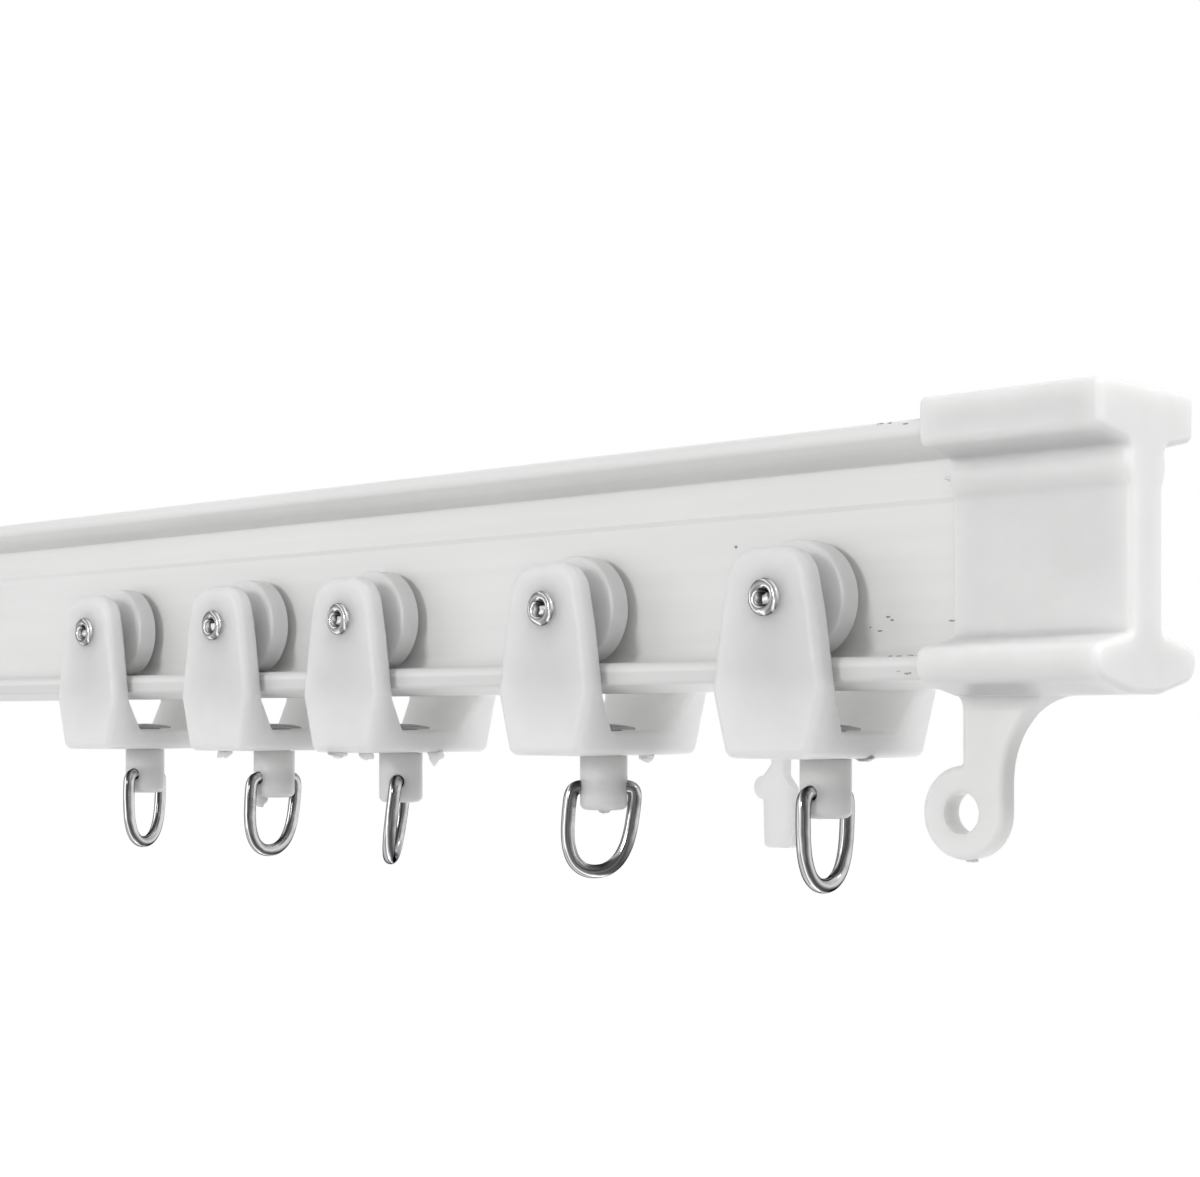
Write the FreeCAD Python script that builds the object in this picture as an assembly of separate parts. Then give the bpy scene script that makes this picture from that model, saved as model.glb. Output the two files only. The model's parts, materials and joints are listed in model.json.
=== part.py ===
import FreeCAD, Part

import math
import os

from FreeCAD import Vector

# Curtain track: an I-section rail with a sleeve cap on each end and five roller carriers.
# X runs along the rail to its right end, the room side is -Y, and Z is up.
# The origin is on the middle of the rail's top face, half-way along the track.

# Whole track: its length, how far the carriers stand from its right end, and their rings' turns
TRACK_LENGTH = 500.0
CARRIER_SETBACKS = (153.5, 124.9, 100.3, 66.6, 36.0)
RING_TURNS = (19.0, 0.0, 39.0, -44.0, 0.0)

# Rail section
RAIL_HEIGHT = 25.0
RAIL_WIDTH = 13.0
WEB_THICKNESS = 1.8
BAND_THICKNESS = 2.2
BAND_DEPTH = 6.9
BAND_SLOPE = 0.5
LIP_HEIGHT = 1.35
LIP_TOP_RADIUS = 0.4
LIP_BOTTOM_RADIUS = 1.0
BULGE_SETBACK = 1.9
BULGE_DEPTH = 2.75
BULGE_RADIUS = 4.0
UNDERSIDE_DEPTH = 3.2
UNDERSIDE_RADIUS = 0.2
RUN_HEIGHT = 3.1
ROOT_RADIUS = 1.6
SHOULDER_RADIUS = 1.0
SKIRT_HEIGHT = 0.8
SKIRT_RADIUS = 0.5
KEEL_WIDTH = 5.0
KEEL_RADIUS = 3.0

# End cap sleeve
CAP_LENGTH = 19.0
CAP_CLEARANCE = 0.15
CAP_END_WALL = 1.6
CAP_TOP_WALL = 1.7
CAP_TOP_RADIUS = 0.8
CAP_SIDE_WALL = 1.5
CAP_SIDE_RADIUS = 1.0
CAP_FLANGE_WALL = 1.4
CAP_WEB_WALL = 1.7
CAP_KEEL_WALL = 0.7
CAP_END_RADIUS = 0.7
CAP_MOUTH_RADIUS = 0.3
RIDGE_RISE = 0.75
RIDGE_SETBACK = 1.0
RIDGE_OVERLAP = 0.4
RIDGE_ROOT_RADIUS = 0.6
RIDGE_CREST_RADIUS = 2.5
RIDGE_FOOT_RADIUS = 1.5
LOBE_WALL = 2.1
LOBE_ROOT_RISE = 1.65
LOBE_ROOT_RADIUS = 0.8
LOBE_SHOULDER_RISE = 0.45
LOBE_SHOULDER_RADIUS = 1.35
LOBE_SKIRT_DROP = 0.1
LOBE_SKIRT_RADIUS = 2.0

# Fixed eye under each cap
EYE_RADIUS = 4.45
EYE_HOLE_DIAMETER = 4.0
EYE_THICKNESS = 2.6
EYE_DROP = 11.65
EYE_RIM_RADIUS = 0.6
EYE_CORNER_RADIUS = 0.4
FLARE_START = 3.0
FLARE_RADIUS = 8.7
WAIST_SPREAD = 1.5
WAIST_RADIUS = 1.42

# Carrier frame
CHEEK_CLEARANCE = 0.5
CHEEK_THICKNESS = 2.6
CHEEK_RISE = 4.9
CHEEK_TOP_WIDTH = 9.0
CHEEK_TOP_RADIUS = 3.6
KNEE_WIDTH = 11.7
KNEE_DROP = 1.45
KNEE_RADIUS = 8.0
CHEEK_WIDTH = 13.9
BELLY_DROP = 9.0
BELLY_RADIUS = 2.0
FOOT_WIDTH = 10.4
FOOT_RADIUS = 1.2
EDGE_RADIUS = 0.9
CHANNEL_RIM_RADIUS = 0.8
CHANNEL_BEND_RADIUS = 1.2
CHANNEL_FLOOR_RADIUS = 0.6
CHANNEL_FLOOR_WIDTH = 8.8
BASE_GAP = 4.05
BASE_THICKNESS = 2.65

# Lug below the left end of the last carrier's base
LUG_THICKNESS = 1.2
LUG_SETBACK = 1.0
LUG_REACH = 8.4
LUG_WIDTH = 3.7
LUG_LENGTH = 9.2
LUG_FOOT_INSET = 0.2
LUG_NECK_WIDTH = 1.6
LUG_NECK_INSET = 1.0
LUG_SHOULDER_DROP = 1.9
LUG_SLOPE = 1.2
LUG_ROUND = 0.5
LUG_ROOT_INSET = 0.6
LUG_BOSS_RADIUS = 1.2
LUG_BOSS_DROP = 3.1

# Rollers and rivets
ROLLER_RADIUS = 5.85
ROLLER_SIDE_GAP = 0.5
ROLLER_WEB_GAP = 1.4
ROLLER_SHOULDER_RADIUS = 1.7
ROLLER_INNER_RADIUS = 0.2
ROLLER_BORE_CLEARANCE = 0.08
HUB_RADIUS = 2.3
HUB_SIDE_GAP = 0.2
HUB_EDGE_RADIUS = 0.15
RIVET_DIAMETER = 2.4
RIVET_BORE = 1.5
RIVET_FLARE = 0.2
RIVET_FLARE_DEPTH = 0.85
RIVET_LIP_RADIUS = 0.45
RIVET_HEAD_DIAMETER = 3.7
RIVET_HEAD_HEIGHT = 0.55
RIVET_HEAD_RADIUS = 0.5
RIVET_TAIL_DIAMETER = 3.3
RIVET_TAIL_HEIGHT = 0.47
RIVET_TAIL_RADIUS = 0.3

# Swivel eye
HEAD_DIAMETER = 6.9
HEAD_HEIGHT = 0.65
HEAD_RIM_HEIGHT = 0.23
SHANK_DIAMETER = 4.0
SHANK_CLEARANCE = 0.1
SWIVEL_PLAY = 0.1
POST_DIAMETER = 5.2
POST_LENGTH = 5.9
POST_EDGE_RADIUS = 0.75
HOLE_DROP = 3.4

# Wire ring, whose radii lie along the middle of the wire
WIRE_DIAMETER = 1.5
WIRE_HOLE_CLEARANCE = 0.1
RING_HEIGHT = 10.75
RING_WIDTH = 8.6
RING_TOP_RADIUS = 1.3
RING_KNEE_WIDTH = 8.1
RING_KNEE_RISE = 4.6
RING_KNEE_RADIUS = 8.0
RING_FOOT_WIDTH = 5.5
RING_FOOT_RADIUS = 2.4
RING_SPLIT = 0.12

# Levels and places that follow from the sizes above
HALF_LENGTH = TRACK_LENGTH / 2
HALF_RAIL = RAIL_WIDTH / 2
HALF_WEB = WEB_THICKNESS / 2
HALF_KEEL = KEEL_WIDTH / 2
RUN_LEVEL = RUN_HEIGHT - RAIL_HEIGHT
SKIRT_LEVEL = SKIRT_HEIGHT - RAIL_HEIGHT
AXLE_LEVEL = RUN_LEVEL + ROLLER_RADIUS
CHEEK_INNER = HALF_RAIL + CHEEK_CLEARANCE
CHEEK_OUTER = CHEEK_INNER + CHEEK_THICKNESS
CHEEK_TOP = AXLE_LEVEL + CHEEK_RISE
BELLY_LEVEL = AXLE_LEVEL - BELLY_DROP
BASE_TOP = -RAIL_HEIGHT - BASE_GAP
BASE_BOTTOM = BASE_TOP - BASE_THICKNESS
ROLLER_INNER = HALF_WEB + ROLLER_WEB_GAP
POST_TOP = BASE_BOTTOM - SWIVEL_PLAY
POST_BOTTOM = POST_TOP - POST_LENGTH
HOLE_LEVEL = POST_TOP - HOLE_DROP
EYE_LEVEL = -RAIL_HEIGHT - EYE_DROP

# Spare length of tools that cut right through, and what counts as no distance
SPARE = 1.0
TINY = 1e-6


def corner_arc(before, corner, after, radius):
    """Return the arc that rounds a corner and its two tangent points."""
    back = (before - corner).normalize()
    ahead = (after - corner).normalize()
    half_angle = back.getAngle(ahead) / 2
    reach = radius / math.tan(half_angle)
    start = corner + back * reach
    end = corner + ahead * reach
    middle = corner + (back + ahead).normalize() * (radius / math.sin(half_angle) - radius)
    return start, middle, end


def rounded_path(points, closed=True):
    """Make a wire through (position, radius) pairs, with an arc at each rounded corner."""
    spots = [spot for spot, radius in points]
    count = len(points)
    edges = []
    first = None
    last = None
    for index, (spot, radius) in enumerate(points):
        at_end = not closed and index in (0, count - 1)
        if radius > 0 and not at_end:
            start, middle, end = corner_arc(spots[index - 1], spot, spots[(index + 1) % count], radius)
        else:
            start, middle, end = spot, None, spot
        if last is None:
            first = start
        elif (start - last).Length > TINY:
            edges.append(Part.makeLine(last, start))
        if middle is not None:
            edges.append(Part.Arc(start, middle, end).toShape())
        last = end
    if closed and (first - last).Length > TINY:
        edges.append(Part.makeLine(last, first))
    return Part.Wire(edges)


def mirrored(half):
    """Complete a right half outline, from top to bottom, with its mirror image."""
    return half + [(-across, level, radius) for across, level, radius in reversed(half)]


def section_face(outline, x):
    """Face across the rail at a place x, from (y, z, radius) corners."""
    return Part.Face(rounded_path([(Vector(x, y, z), radius) for y, z, radius in outline]))


def side_face(outline, y):
    """Face along the rail at a depth y, from (x, z, radius) corners."""
    return Part.Face(rounded_path([(Vector(x, y, z), radius) for x, z, radius in outline]))


def rod(radius, start, end):
    """Cylinder between two points."""
    span = end - start
    return Part.makeCylinder(radius, span.Length, start, span)


def cross_rod(radius, x, reach, level):
    """Cylinder across the rail at a place x and a level."""
    return rod(radius, Vector(x, -reach, level), Vector(x, reach, level))


def turned(outline, x, sign, level):
    """Turn a (distance along the axle, radius, corner radius) outline about a cross axle."""
    spots = [(Vector(x, sign * along, level + radius), corner) for along, radius, corner in outline]
    return Part.Face(rounded_path(spots)).revolve(Vector(x, 0, level), Vector(0, 1, 0), 360)


def on_skin(shape, edge):
    """Tell whether the middle of an edge lies on a solid's surface."""
    middle = edge.valueAt((edge.FirstParameter + edge.LastParameter) / 2)
    return shape.Shells[0].distToShape(Part.Vertex(middle))[0] < TINY


def round_shared(shape, first, second, radius, top):
    """Round the edges below a level where the skins of two solids crossed."""
    rims = [edge for edge in shape.Edges if edge.BoundBox.ZMax < top]
    rims = [edge for edge in rims if on_skin(first, edge) and on_skin(second, edge)]
    return shape.makeFillet(radius, rims)


def rail_outline():
    """Corners of the I-section, with its thicker band under the top flange."""
    band = BAND_THICKNESS / 2
    half = [
        (HALF_RAIL, 0, LIP_TOP_RADIUS),
        (HALF_RAIL, -LIP_HEIGHT, LIP_BOTTOM_RADIUS),
        (HALF_RAIL - BULGE_SETBACK, -BULGE_DEPTH, BULGE_RADIUS),
        (band, -UNDERSIDE_DEPTH, UNDERSIDE_RADIUS),
        (band, -BAND_DEPTH, 0),
        (HALF_WEB, -BAND_DEPTH - BAND_SLOPE, 0),
        (HALF_WEB, RUN_LEVEL, ROOT_RADIUS),
        (HALF_RAIL, RUN_LEVEL, SHOULDER_RADIUS),
        (HALF_RAIL, SKIRT_LEVEL, SKIRT_RADIUS),
        (HALF_KEEL, -RAIL_HEIGHT, KEEL_RADIUS),
    ]
    return mirrored(half)


def make_rail():
    """Straight rail that reaches into both caps."""
    start = -HALF_LENGTH + CAP_END_WALL + CAP_CLEARANCE
    face = section_face(rail_outline(), start)
    return face.extrude(Vector(-2 * start, 0, 0))


def cap_outline():
    """Corners of the cap's outer section, which follows the rail with its own walls."""
    side = HALF_RAIL + CAP_SIDE_WALL
    web = HALF_WEB + CAP_WEB_WALL
    lobe = HALF_RAIL + LOBE_WALL
    under = -LIP_HEIGHT - CAP_FLANGE_WALL
    ridge_top = under - RIDGE_SETBACK
    ridge_bottom = -BAND_DEPTH - RIDGE_OVERLAP
    half = [
        (side, CAP_TOP_WALL, CAP_TOP_RADIUS),
        (side, under, CAP_SIDE_RADIUS),
        (web + RIDGE_RISE / 2, ridge_top, RIDGE_ROOT_RADIUS),
        (web + RIDGE_RISE, (ridge_top + ridge_bottom) / 2, RIDGE_CREST_RADIUS),
        (web, ridge_bottom, RIDGE_FOOT_RADIUS),
        (web, RUN_LEVEL + LOBE_ROOT_RISE, LOBE_ROOT_RADIUS),
        (lobe, RUN_LEVEL + LOBE_SHOULDER_RISE, LOBE_SHOULDER_RADIUS),
        (lobe, SKIRT_LEVEL - LOBE_SKIRT_DROP, LOBE_SKIRT_RADIUS),
        (HALF_KEEL, -RAIL_HEIGHT - CAP_KEEL_WALL, KEEL_RADIUS),
    ]
    return mirrored(half)


def make_sleeve(mouth):
    """Outer body of the right cap, with rounded edges at its mouth and its closed end."""
    sleeve = section_face(cap_outline(), mouth).extrude(Vector(CAP_LENGTH, 0, 0))
    end_edges = [edge for edge in sleeve.Edges if edge.BoundBox.XMin > HALF_LENGTH - TINY]
    sleeve = sleeve.makeFillet(CAP_END_RADIUS, end_edges)
    mouth_edges = [edge for edge in sleeve.Edges if edge.BoundBox.XMax < mouth + TINY]
    return sleeve.makeFillet(CAP_MOUTH_RADIUS, mouth_edges)


def flare_arc(right, flare_base):
    """Quarter round in side view that sweeps from the eye's neck up to the cap."""
    bend = FLARE_RADIUS * math.sqrt(0.5)
    return Part.Arc(
        Vector(right, -HALF_RAIL, flare_base),
        Vector(right + FLARE_RADIUS - bend, -HALF_RAIL, flare_base + bend),
        Vector(right + FLARE_RADIUS, -HALF_RAIL, flare_base + FLARE_RADIUS),
    ).toShape()


def loop_arcs(mouth):
    """Small inner corner under the cap's mouth, then the loop round to its right side."""
    centre = Vector(mouth, -HALF_RAIL, EYE_LEVEL)
    reach = EYE_RADIUS + EYE_CORNER_RADIUS
    corner_rise = math.sqrt(reach ** 2 - EYE_CORNER_RADIUS ** 2)
    start = centre + Vector(0, 0, corner_rise)
    pivot = start - Vector(EYE_CORNER_RADIUS, 0, 0)
    end = centre + (pivot - centre) * (EYE_RADIUS / reach)
    middle = pivot + ((start + end) / 2 - pivot).normalize() * EYE_CORNER_RADIUS
    bend = EYE_RADIUS * math.sqrt(0.5)
    low_left = centre - Vector(bend, 0, bend)
    right = centre + Vector(EYE_RADIUS, 0, 0)
    return [Part.Arc(start, middle, end).toShape(), Part.Arc(end, low_left, right).toShape()]


def eye_blade(mouth):
    """Side view of the eye, far too thick: loop, straight neck and a flare up to the cap."""
    right = mouth + EYE_RADIUS
    flare_base = EYE_LEVEL + FLARE_START
    rise = flare_arc(right, flare_base)
    arcs = loop_arcs(mouth)
    top = [
        rise.Vertexes[-1].Point,
        Vector(right + FLARE_RADIUS, -HALF_RAIL, SKIRT_LEVEL),
        Vector(mouth, -HALF_RAIL, SKIRT_LEVEL),
        arcs[0].Vertexes[0].Point,
    ]
    neck = [Vector(right, -HALF_RAIL, EYE_LEVEL), Vector(right, -HALF_RAIL, flare_base)]
    edges = [rise] + Part.makePolygon(top).Edges + arcs + Part.makePolygon(neck).Edges
    return Part.Face(Part.Wire(edges)).extrude(Vector(0, RAIL_WIDTH, 0))


def eye_waist(mouth):
    """End view of the eye as a bar along X: a thin plate that widens where it meets the cap."""
    half = EYE_THICKNESS / 2
    root = -RAIL_HEIGHT - CAP_KEEL_WALL
    outline = mirrored([
        (half + WAIST_SPREAD, SKIRT_LEVEL, 0),
        (half + WAIST_SPREAD, root, 0),
        (half, root, WAIST_RADIUS),
        (half, EYE_LEVEL - EYE_RADIUS - SPARE, 0),
    ])
    start = mouth - EYE_RADIUS - SPARE
    return section_face(outline, start).extrude(Vector(CAP_LENGTH + EYE_RADIUS, 0, 0))


def make_eye(mouth):
    """Fixed eye with rounded rims, without its hole."""
    blade = eye_blade(mouth)
    waist = eye_waist(mouth)
    root = -RAIL_HEIGHT - CAP_KEEL_WALL + TINY
    return round_shared(blade.common(waist), blade, waist, EYE_RIM_RADIUS, root)


def make_right_cap():
    """Closed sleeve with its fixed eye under the mouth."""
    mouth = HALF_LENGTH - CAP_LENGTH
    hole = cross_rod(EYE_HOLE_DIAMETER / 2, mouth, RAIL_WIDTH, EYE_LEVEL)
    cavity_face = section_face(rail_outline(), mouth - SPARE).makeOffset2D(CAP_CLEARANCE)
    cavity = cavity_face.extrude(Vector(CAP_LENGTH + SPARE - CAP_END_WALL, 0, 0))
    return make_sleeve(mouth).fuse(make_eye(mouth)).cut(hole).cut(cavity).removeSplitter()


def make_left_cap():
    """Mirror image of the right cap."""
    return make_right_cap().mirror(Vector(0, 0, 0), Vector(1, 0, 0))


def cheek_outline(x):
    """Side view of a carrier frame: domed top, widest below the rollers, narrower foot."""
    half = [
        (CHEEK_TOP_WIDTH / 2, CHEEK_TOP, CHEEK_TOP_RADIUS),
        (KNEE_WIDTH / 2, AXLE_LEVEL - KNEE_DROP, KNEE_RADIUS),
        (CHEEK_WIDTH / 2, BELLY_LEVEL, BELLY_RADIUS),
        (FOOT_WIDTH / 2, BASE_BOTTOM, FOOT_RADIUS),
    ]
    return [(x + across, level, radius) for across, level, radius in mirrored(half)]


def channel_outline():
    """End view of the space between the cheeks, narrowing to the base's flat top."""
    half = [
        (CHEEK_INNER, CHEEK_TOP + SPARE, 0),
        (CHEEK_INNER, BELLY_LEVEL, CHANNEL_BEND_RADIUS),
        (CHANNEL_FLOOR_WIDTH / 2, BASE_TOP, CHANNEL_FLOOR_RADIUS),
    ]
    return mirrored(half)


def make_frame(x):
    """One-piece moulded carrier frame: two cheeks joined by a base."""
    block = side_face(cheek_outline(x), -CHEEK_OUTER).extrude(Vector(0, 2 * CHEEK_OUTER, 0))
    rims = [edge for edge in block.Edges if edge.BoundBox.YLength < TINY]
    block = block.makeFillet(EDGE_RADIUS, rims)
    channel = section_face(channel_outline(), x - CHEEK_WIDTH).extrude(Vector(2 * CHEEK_WIDTH, 0, 0))
    body = round_shared(block.cut(channel), block, channel, CHANNEL_RIM_RADIUS, CHEEK_TOP + SPARE)
    axle_hole = cross_rod(RIVET_DIAMETER / 2, x, CHEEK_OUTER + SPARE, AXLE_LEVEL)
    shank_hole = rod(
        SHANK_DIAMETER / 2 + SHANK_CLEARANCE,
        Vector(x, 0, BASE_BOTTOM - SPARE),
        Vector(x, 0, BASE_TOP + SPARE),
    )
    return body.cut(axle_hole).cut(shank_hole)


def make_lug(x):
    """Flat lug that hangs from the left end of a base, with a small round boss at its left."""
    left = x - LUG_REACH
    right = left + LUG_WIDTH
    neck_right = right - LUG_NECK_INSET
    neck_left = neck_right - LUG_NECK_WIDTH
    bottom = BASE_BOTTOM - LUG_LENGTH
    shoulder = BASE_BOTTOM - LUG_SHOULDER_DROP
    boss_level = BASE_BOTTOM - LUG_BOSS_DROP
    root = x - FOOT_WIDTH / 2 + LUG_ROOT_INSET
    root_top = BASE_TOP - LUG_ROOT_INSET
    outline = [
        (root, root_top, 0),
        (root, BASE_BOTTOM + LUG_ROUND, 0),
        (neck_right, BASE_BOTTOM, 0),
        (neck_right, shoulder, LUG_ROUND),
        (right, shoulder - LUG_SLOPE, LUG_ROUND),
        (right, bottom, LUG_ROUND),
        (left + LUG_FOOT_INSET, bottom, LUG_ROUND),
        (left, boss_level, 0),
        (left, shoulder, LUG_ROUND),
        (neck_left, shoulder + LUG_SLOPE, LUG_ROUND),
        (neck_left, root_top, LUG_ROUND),
    ]
    front = LUG_SETBACK - LUG_THICKNESS / 2
    plate = side_face(outline, front).extrude(Vector(0, LUG_THICKNESS, 0))
    boss = rod(
        LUG_BOSS_RADIUS,
        Vector(left, front, boss_level),
        Vector(left, front + LUG_THICKNESS, boss_level),
    )
    return plate.fuse(boss).removeSplitter()


def make_rivet(x, sign):
    """Tubular rivet with a rolled head outside, a bore that flares there and a rolled tail."""
    shank = RIVET_DIAMETER / 2
    bore = RIVET_BORE / 2
    head_top = CHEEK_OUTER + RIVET_HEAD_HEIGHT
    tail_end = ROLLER_INNER - RIVET_TAIL_HEIGHT
    outline = [
        (CHEEK_OUTER, shank, 0),
        (CHEEK_OUTER, RIVET_HEAD_DIAMETER / 2, 0),
        (head_top, RIVET_HEAD_DIAMETER / 2, RIVET_HEAD_RADIUS),
        (head_top, bore + RIVET_FLARE, RIVET_LIP_RADIUS),
        (head_top - RIVET_FLARE_DEPTH, bore, 0),
        (tail_end, bore, 0),
        (tail_end, RIVET_TAIL_DIAMETER / 2, RIVET_TAIL_RADIUS),
        (ROLLER_INNER, RIVET_TAIL_DIAMETER / 2, 0),
        (ROLLER_INNER, shank, 0),
    ]
    return turned(outline, x, sign, AXLE_LEVEL)


def make_roller(x, sign):
    """Moulded roller: full-round shoulder towards the cheek, crisp inner edge and a low hub."""
    outer = CHEEK_INNER - ROLLER_SIDE_GAP
    hub_end = CHEEK_INNER - HUB_SIDE_GAP
    bore = RIVET_DIAMETER / 2 + ROLLER_BORE_CLEARANCE
    outline = [
        (hub_end, bore, 0),
        (hub_end, HUB_RADIUS, HUB_EDGE_RADIUS),
        (outer, HUB_RADIUS, 0),
        (outer, ROLLER_RADIUS, ROLLER_SHOULDER_RADIUS),
        (ROLLER_INNER, ROLLER_RADIUS, ROLLER_INNER_RADIUS),
        (ROLLER_INNER, bore, 0),
    ]
    return turned(outline, x, sign, AXLE_LEVEL)


def head_dome(x, rim_level, crown):
    """Arc from the middle of a swivel eye's head to its rim."""
    head = HEAD_DIAMETER / 2
    rise = crown - rim_level
    dome_radius = (head * head + rise * rise) / (2 * rise)
    half_way = head / 2
    half_height = crown - dome_radius + math.sqrt(dome_radius ** 2 - half_way ** 2)
    return Part.Arc(
        Vector(x, 0, crown),
        Vector(x + half_way, 0, half_height),
        Vector(x + head, 0, rim_level),
    ).toShape()


def make_swivel_eye(x, turn):
    """Domed head, shank through the base, and a round post with a cross hole for the ring."""
    head = HEAD_DIAMETER / 2
    shank = SHANK_DIAMETER / 2
    post = POST_DIAMETER / 2
    head_bottom = BASE_TOP + SWIVEL_PLAY
    rim_level = head_bottom + HEAD_RIM_HEIGHT
    crown = head_bottom + HEAD_HEIGHT
    sides = rounded_path([
        (Vector(x + head, 0, rim_level), 0),
        (Vector(x + head, 0, head_bottom), 0),
        (Vector(x + shank, 0, head_bottom), 0),
        (Vector(x + shank, 0, POST_TOP), 0),
        (Vector(x + post, 0, POST_TOP), 0),
        (Vector(x + post, 0, POST_BOTTOM), POST_EDGE_RADIUS),
        (Vector(x, 0, POST_BOTTOM), 0),
        (Vector(x, 0, crown), 0),
    ], closed=False)
    edges = [head_dome(x, rim_level, crown)] + sides.Edges
    body = Part.Face(Part.Wire(edges)).revolve(Vector(x, 0, 0), Vector(0, 0, 1), 360)
    eye = body.cut(cross_rod(WIRE_DIAMETER / 2 + WIRE_HOLE_CLEARANCE, x, POST_DIAMETER, HOLE_LEVEL))
    eye.rotate(Vector(x, 0, 0), Vector(0, 0, 1), turn)
    return eye


def make_ring(x, turn):
    """Bent wire ring: straight bar through the post, sides that close in, round foot with a split."""
    half_top = (RING_WIDTH - WIRE_DIAMETER) / 2
    half_knee = (RING_KNEE_WIDTH - WIRE_DIAMETER) / 2
    half_foot = (RING_FOOT_WIDTH - WIRE_DIAMETER) / 2
    half_split = RING_SPLIT / 2
    low = HOLE_LEVEL - (RING_HEIGHT - WIRE_DIAMETER)
    knee = low + RING_KNEE_RISE
    side = [
        (half_split, low, 0),
        (half_foot, low, RING_FOOT_RADIUS),
        (half_knee, knee, RING_KNEE_RADIUS),
        (half_top, HOLE_LEVEL, RING_TOP_RADIUS),
    ]
    path = rounded_path([(Vector(x, y, z), radius) for y, z, radius in mirrored(side)], closed=False)
    circle = Part.makeCircle(WIRE_DIAMETER / 2, Vector(x, half_split, low), Vector(0, 1, 0))
    ring = path.makePipeShell([Part.Wire(circle)], True, True)
    ring.rotate(Vector(x, 0, 0), Vector(0, 0, 1), turn)
    return ring


def carrier_parts(number, x, turn):
    """All the pieces of one carrier, by name."""
    name = f"carrier_{number}_"
    frame = make_frame(x)
    if number == len(CARRIER_SETBACKS):
        frame = frame.fuse(make_lug(x)).removeSplitter()
    return {
        name + "frame": frame,
        name + "front_rivet": make_rivet(x, -1),
        name + "back_rivet": make_rivet(x, 1),
        name + "front_roller": make_roller(x, -1),
        name + "back_roller": make_roller(x, 1),
        name + "swivel_eye": make_swivel_eye(x, turn),
        name + "ring": make_ring(x, turn),
    }


def all_parts():
    """Every piece of the track, by name."""
    parts = {
        "rail": make_rail(),
        "end_cap_right": make_right_cap(),
        "end_cap_left": make_left_cap(),
    }
    for index, (setback, turn) in enumerate(zip(CARRIER_SETBACKS, RING_TURNS)):
        parts.update(carrier_parts(index + 1, HALF_LENGTH - setback, turn))
    return parts


os.makedirs("parts", exist_ok=True)
for part_name, shape in all_parts().items():
    solid = shape.Solids[0] if len(shape.Solids) == 1 else shape
    solid.exportStep(f"parts/{part_name}.step")
    print(part_name, solid.isValid(), len(shape.Solids), round(solid.Volume, 1))
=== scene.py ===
import json
import math

import bmesh
import bpy
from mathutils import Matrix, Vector
from mathutils import noise as bumps


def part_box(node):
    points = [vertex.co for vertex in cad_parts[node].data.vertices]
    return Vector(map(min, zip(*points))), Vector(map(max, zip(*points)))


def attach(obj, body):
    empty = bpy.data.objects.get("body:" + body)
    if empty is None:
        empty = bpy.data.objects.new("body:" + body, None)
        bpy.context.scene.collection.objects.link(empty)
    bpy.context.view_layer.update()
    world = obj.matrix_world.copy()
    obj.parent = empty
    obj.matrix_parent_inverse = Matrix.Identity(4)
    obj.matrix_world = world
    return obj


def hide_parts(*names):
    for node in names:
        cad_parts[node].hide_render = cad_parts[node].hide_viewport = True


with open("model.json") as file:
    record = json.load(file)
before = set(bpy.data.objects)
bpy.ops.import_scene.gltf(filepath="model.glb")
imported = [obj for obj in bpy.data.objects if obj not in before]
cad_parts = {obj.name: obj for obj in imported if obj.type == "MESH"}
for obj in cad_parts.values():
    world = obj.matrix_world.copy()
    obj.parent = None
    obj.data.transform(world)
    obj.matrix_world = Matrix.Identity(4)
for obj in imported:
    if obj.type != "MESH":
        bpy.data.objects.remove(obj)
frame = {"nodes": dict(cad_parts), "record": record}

# White plastic curtain track: looks, lights and camera. All sizes are in metres.

CARRIER_COUNT = 5
MM = 0.001

# Camera, fitted to the photograph
PHOTO_WIDTH = 1200
PHOTO_HEIGHT = 1177
FOCAL_PIXELS = 2193.2
PRINCIPAL_X = 591.0
PRINCIPAL_Y = 722.5
CAMERA_PLACE = (0.34917, -0.17319, -0.02816)
CAMERA_YAW = 44.08
SENSOR_WIDTH = 36.0
NEAR_CLIP = 0.01
FAR_CLIP = 20.0

# Plain colours, as linear values
RAIL_WHITE = (0.80, 0.80, 0.795)
CAP_WHITE = (0.75, 0.75, 0.745)
CARRIER_WHITE = (0.78, 0.78, 0.775)
# The swivel eyes' darker white is painted shade, standing for the shade on the posts under the
# bases
SWIVEL_SHADED_WHITE = (0.66, 0.66, 0.655)
ROLLER_WHITE = (0.82, 0.82, 0.815)
RING_STEEL = (0.46, 0.46, 0.47)
RIVET_STEEL = (0.55, 0.55, 0.56)
# Steel of the bright lumps that paint a highlight in the rivets' bores
BORE_GLINT_STEEL = (0.7, 0.7, 0.71)
SPECK_GREY = (0.14, 0.135, 0.13)
GREY_STREAK = (0.965, 0.965, 0.965)
WHITE = (1.0, 1.0, 1.0)

# Polished steel with painted reflections: the axis along which the surface's facing sets them, and
# their (place, brightness) bands
PAINTED_REFLECTION_AXIS = (0.78, 0.2, 0.45)
RING_REFLECTION_BANDS = (
    (0.0, 0.2), (0.13, 0.25), (0.22, 0.8), (0.34, 1.1), (0.43, 0.35), (0.49, 2.1), (0.55, 0.7),
    (0.62, 0.18), (0.74, 0.12), (0.82, 0.45), (0.9, 1.5), (1.0, 0.5),
)
# Tone of the steel where it turns away from the eye
STEEL_EDGE = (0.12, 0.12, 0.12, 1.0)
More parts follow.
